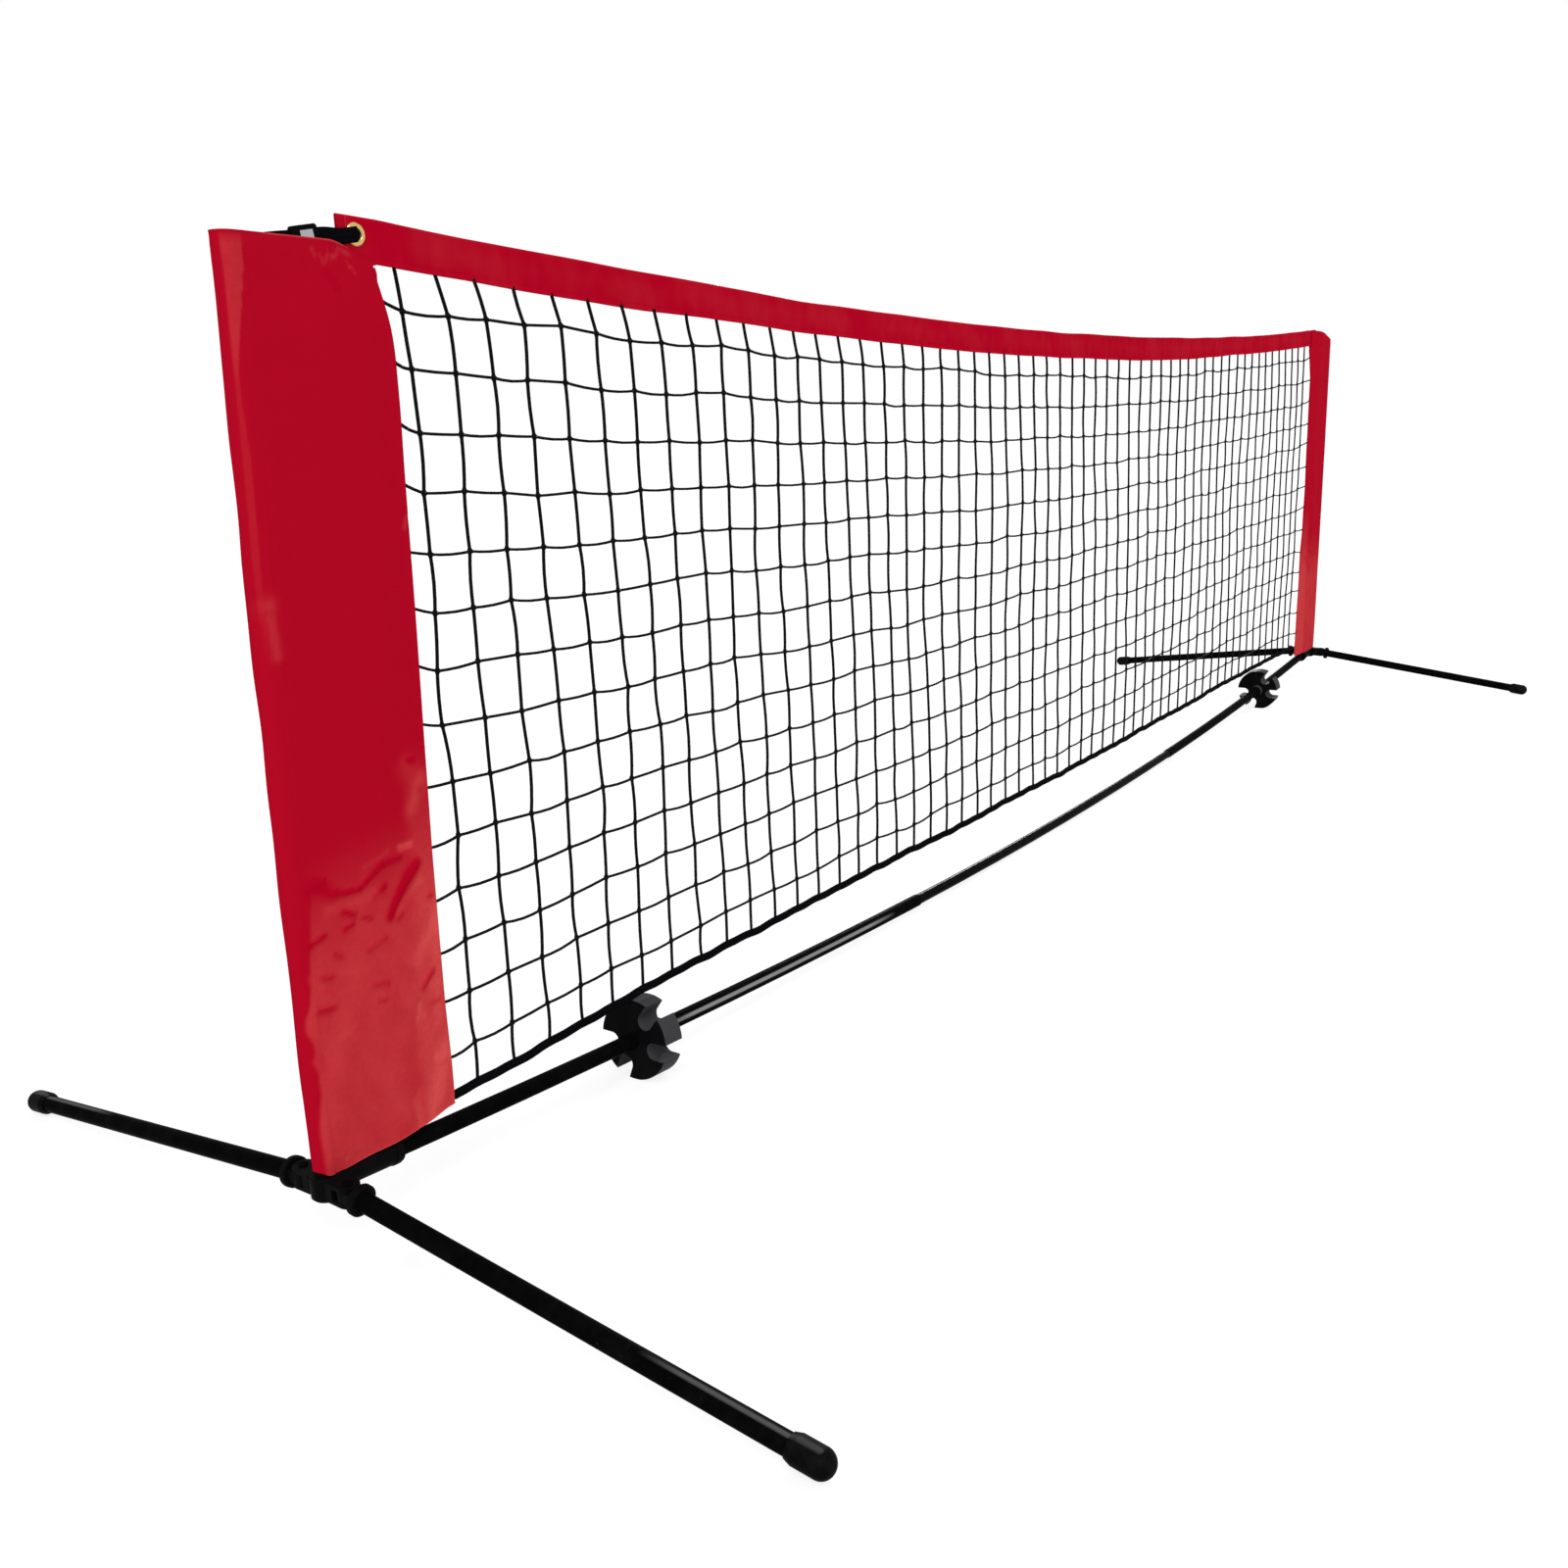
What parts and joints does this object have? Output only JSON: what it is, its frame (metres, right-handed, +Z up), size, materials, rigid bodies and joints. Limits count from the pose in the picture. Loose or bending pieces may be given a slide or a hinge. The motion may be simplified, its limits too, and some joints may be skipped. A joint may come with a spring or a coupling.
{
  "type": "pickleball portable net",
  "caption": "Free-standing portable court net: bowed tube base with folding legs and storage clips, posts in fabric side pockets, taped mesh net",
  "frame": {"origin": "middle of the net at floor level: the centre of the bounding box's underside, between the two posts", "axes": "+X along the net towards the right-hand post, +Y across the net away from the buckles' side, +Z up"},
  "size_m": [3.229, 1.0702, 0.896],
  "materials": {
    "coated_steel": "satin black powder coat",
    "moulded_black": "fine satin moulded nylon",
    "foot_rubber": "matt",
    "pin_steel": "blackened steel rivet",
    "red_fabric": "coated woven polyester with a slight sheen",
    "grommet_brass": "dull",
    "black_webbing": "woven webbing",
    "plate_steel": "satin",
    "black_twine": "braided polyethylene twine"
  },
  "bodies": {
    "frame_and_net": {"hub_left": "moulded_black", "hub_right": "moulded_black", "bar_left": "coated_steel", "bar_middle": "coated_steel", "bar_right": "coated_steel", "clip_left": "moulded_black", "clip_right": "moulded_black", "post_left": "coated_steel", "post_right": "coated_steel", "post_cap_left": "moulded_black", "post_cap_right": "moulded_black", "hinge_pin_front_left": "pin_steel", "hinge_pin_back_left": "pin_steel", "hinge_pin_front_right": "pin_steel", "hinge_pin_back_right": "pin_steel", "pocket_left": "red_fabric", "pocket_right": "red_fabric", "top_band": "red_fabric", "grommet_left": "grommet_brass", "strap_left": "black_webbing", "buckle_left": "moulded_black", "buckle_plate_left": "plate_steel", "grommet_right": "grommet_brass", "strap_right": "black_webbing", "buckle_right": "moulded_black", "buckle_plate_right": "plate_steel", "net_uprights": "black_twine", "net_rows": "black_twine", "hem_tape": "black_webbing"},
    "leg_front_left": {"leg_knuckle_front_left": "moulded_black", "leg_tube_front_left": "coated_steel", "leg_foot_front_left": "foot_rubber"},
    "leg_back_left": {"leg_knuckle_back_left": "moulded_black", "leg_tube_back_left": "coated_steel", "leg_foot_back_left": "foot_rubber"},
    "leg_front_right": {"leg_knuckle_front_right": "moulded_black", "leg_tube_front_right": "coated_steel", "leg_foot_front_right": "foot_rubber"},
    "leg_back_right": {"leg_knuckle_back_right": "moulded_black", "leg_tube_back_right": "coated_steel", "leg_foot_back_right": "foot_rubber"}
  },
  "joints": [
    {"name": "fold_front_left", "type": "hinge", "parent": "frame_and_net", "child": "leg_front_left", "pos_m": [-1.6, -0.031, 0.0735], "axis": [-0.0225, -0.0227, 0.9995], "range_deg": [0, 89.1]},
    {"name": "fold_back_left", "type": "hinge", "parent": "frame_and_net", "child": "leg_back_left", "pos_m": [-1.6, 0.031, 0.0735], "axis": [0.0225, -0.0227, -0.9995], "range_deg": [0, 89.1]},
    {"name": "fold_front_right", "type": "hinge", "parent": "frame_and_net", "child": "leg_front_right", "pos_m": [1.6, -0.031, 0.0735], "axis": [-0.0225, 0.0227, -0.9995], "range_deg": [0, 89.1]},
    {"name": "fold_back_right", "type": "hinge", "parent": "frame_and_net", "child": "leg_back_right", "pos_m": [1.6, 0.031, 0.0735], "axis": [0.0225, 0.0227, 0.9995], "range_deg": [0, 89.1]}
  ]
}
